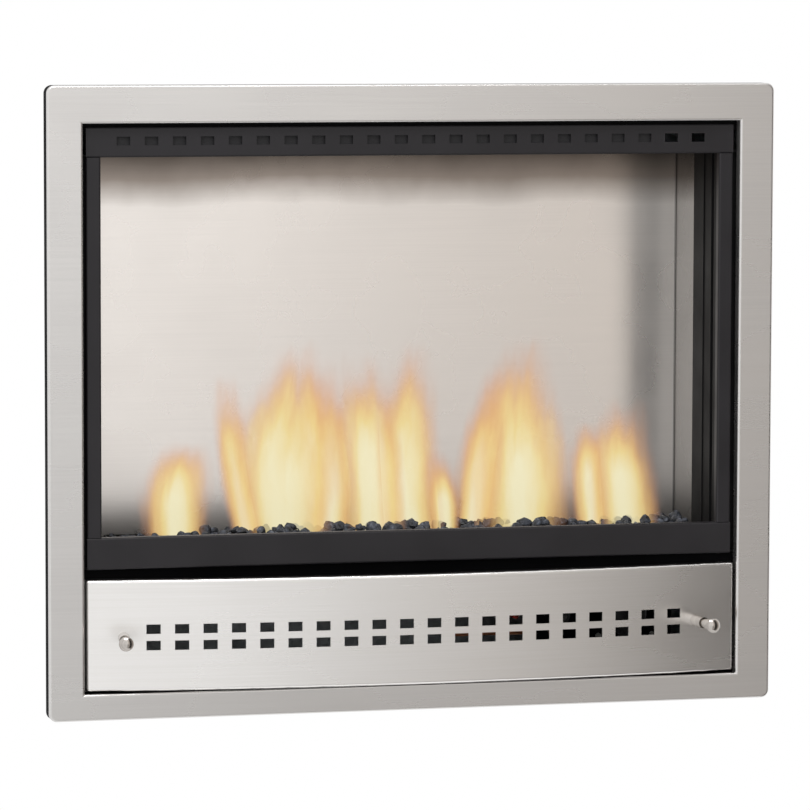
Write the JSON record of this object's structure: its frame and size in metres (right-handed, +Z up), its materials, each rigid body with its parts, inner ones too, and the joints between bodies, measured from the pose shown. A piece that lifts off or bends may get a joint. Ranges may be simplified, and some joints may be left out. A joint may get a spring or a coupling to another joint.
{
  "type": "hanging gas fireplace",
  "caption": "Wall-hung gas fireplace with a brushed steel surround, open black-trimmed firebox with charcoal bed and a bowed slotted pull-off panel.",
  "frame": {"origin": "centre of the wall bracket's bolt pattern, on the face of the wall", "axes": "+X to the viewer's right, +Y into the wall, +Z up; the fire faces -Y"},
  "size_m": [0.915, 0.2973, 0.779],
  "materials": {
    "brushed_steel_face": "fine horizontal brushing",
    "brushed_steel_back": "fine brushing, slightly heat tinted at the top",
    "polished_knob": "turned and polished",
    "black_trim": "semi-matt black high-temperature paint",
    "black_tray": "satin black powder coat",
    "casing": "galvanised sheet, spangled",
    "bracket": "zinc plated",
    "fastener": "zinc plated",
    "rubber": "matt",
    "charcoal": "rough dark lava stone",
    "burner": "heat darkened stainless steel",
    "brass": "turned brass",
    "copper_pipe": "drawn copper",
    "cast_valve": "die cast, bead blasted",
    "black_plastic": "moulded",
    "gloss_plastic": "moulded",
    "dial": "satin anodised",
    "ceramic": "glazed ceramic",
    "lead_sleeve": "silicone sleeve",
    "spring_steel": "drawn wire",
    "magnet": "nickel plated"
  },
  "bodies": {
    "wall_plate": {"wall_bracket": "bracket"},
    "panel": {"access_panel": "brushed_steel_face", "left_pull_knob": "polished_knob", "right_pull_knob": "polished_knob", "pull_knob_screws": "fastener", "panel_lugs": "fastener"},
    "spindle": {"valve_spindle": "spring_steel"},
    "knob": {"control_knob": "black_plastic"},
    "igniter": {"igniter_button": "gloss_plastic"},
    "shutter": {"air_shutter": "brass"},
    "fireplace": {"casing_hook": "bracket", "wall_spacers": "rubber", "surround_frame": "brushed_steel_face", "frame_studs": "fastener", "surround_carrier": "black_tray", "casing_left": "casing", "casing_right": "casing", "casing_top": "casing", "casing_bottom": "casing", "casing_back": "casing", "casing_rivets": "fastener", "louvre_strip": "black_trim", "deflector_plate": "black_trim", "upper_front_plate": "black_trim", "left_jamb": "black_trim", "right_jamb": "black_trim", "bottom_rail": "black_trim", "left_side_wall": "black_trim", "right_side_wall": "black_trim", "firebox_back": "brushed_steel_back", "firebox_hood": "black_trim", "firebox_floor": "black_trim", "heat_shield": "casing", "bay_frame": "black_trim", "burner_tray": "black_trim", "rock_grate": "burner", "burner_tube": "burner", "charcoal_chips": "charcoal", "mixer_tube": "burner", "gas_injector": "brass", "manifold_pipe": "copper_pipe", "gas_valve": "cast_valve", "spindle_spring": "spring_steel", "dial_ring": "dial", "control_plate": "black_trim", "plate_screws": "fastener", "igniter_body": "black_plastic", "igniter_spring": "spring_steel", "ignition_lead": "lead_sleeve", "pilot_bracket": "burner", "pilot_burner": "burner", "pilot_pipe": "copper_pipe", "thermocouple": "burner", "thermocouple_lead": "copper_pipe", "spark_electrode": "ceramic", "gas_regulator": "cast_valve", "inlet_tail": "brass", "supply_pipe": "copper_pipe", "panel_magnets": "magnet"}
  },
  "joints": [
    {"name": "lift_off", "type": "slide", "parent": "wall_plate", "child": "fireplace", "axis": [0, 0, 1], "range_m": [0, 0.014]},
    {"name": "panel_pull", "type": "slide", "parent": "fireplace", "child": "panel", "axis": [0, -1, 0], "range_m": [0, 0.09]},
    {"name": "spindle_push", "type": "slide", "parent": "fireplace", "child": "spindle", "axis": [0, 1, 0], "range_m": [0, 0.004], "stiffness_N_per_m": 2000, "springref_m": -0.002},
    {"name": "knob_turn", "type": "hinge", "parent": "spindle", "child": "knob", "pos_m": [0.285, -0.211, -0.495], "axis": [0, -1, 0], "range_deg": [0, 210]},
    {"name": "igniter_push", "type": "slide", "parent": "fireplace", "child": "igniter", "axis": [0, 1, 0], "range_m": [0, 0.006], "stiffness_N_per_m": 2500, "springref_m": -0.002},
    {"name": "shutter_turn", "type": "hinge", "parent": "fireplace", "child": "shutter", "pos_m": [0.06, -0.166, -0.475], "axis": [0, 0, 1], "range_deg": [0, 60]}
  ]
}
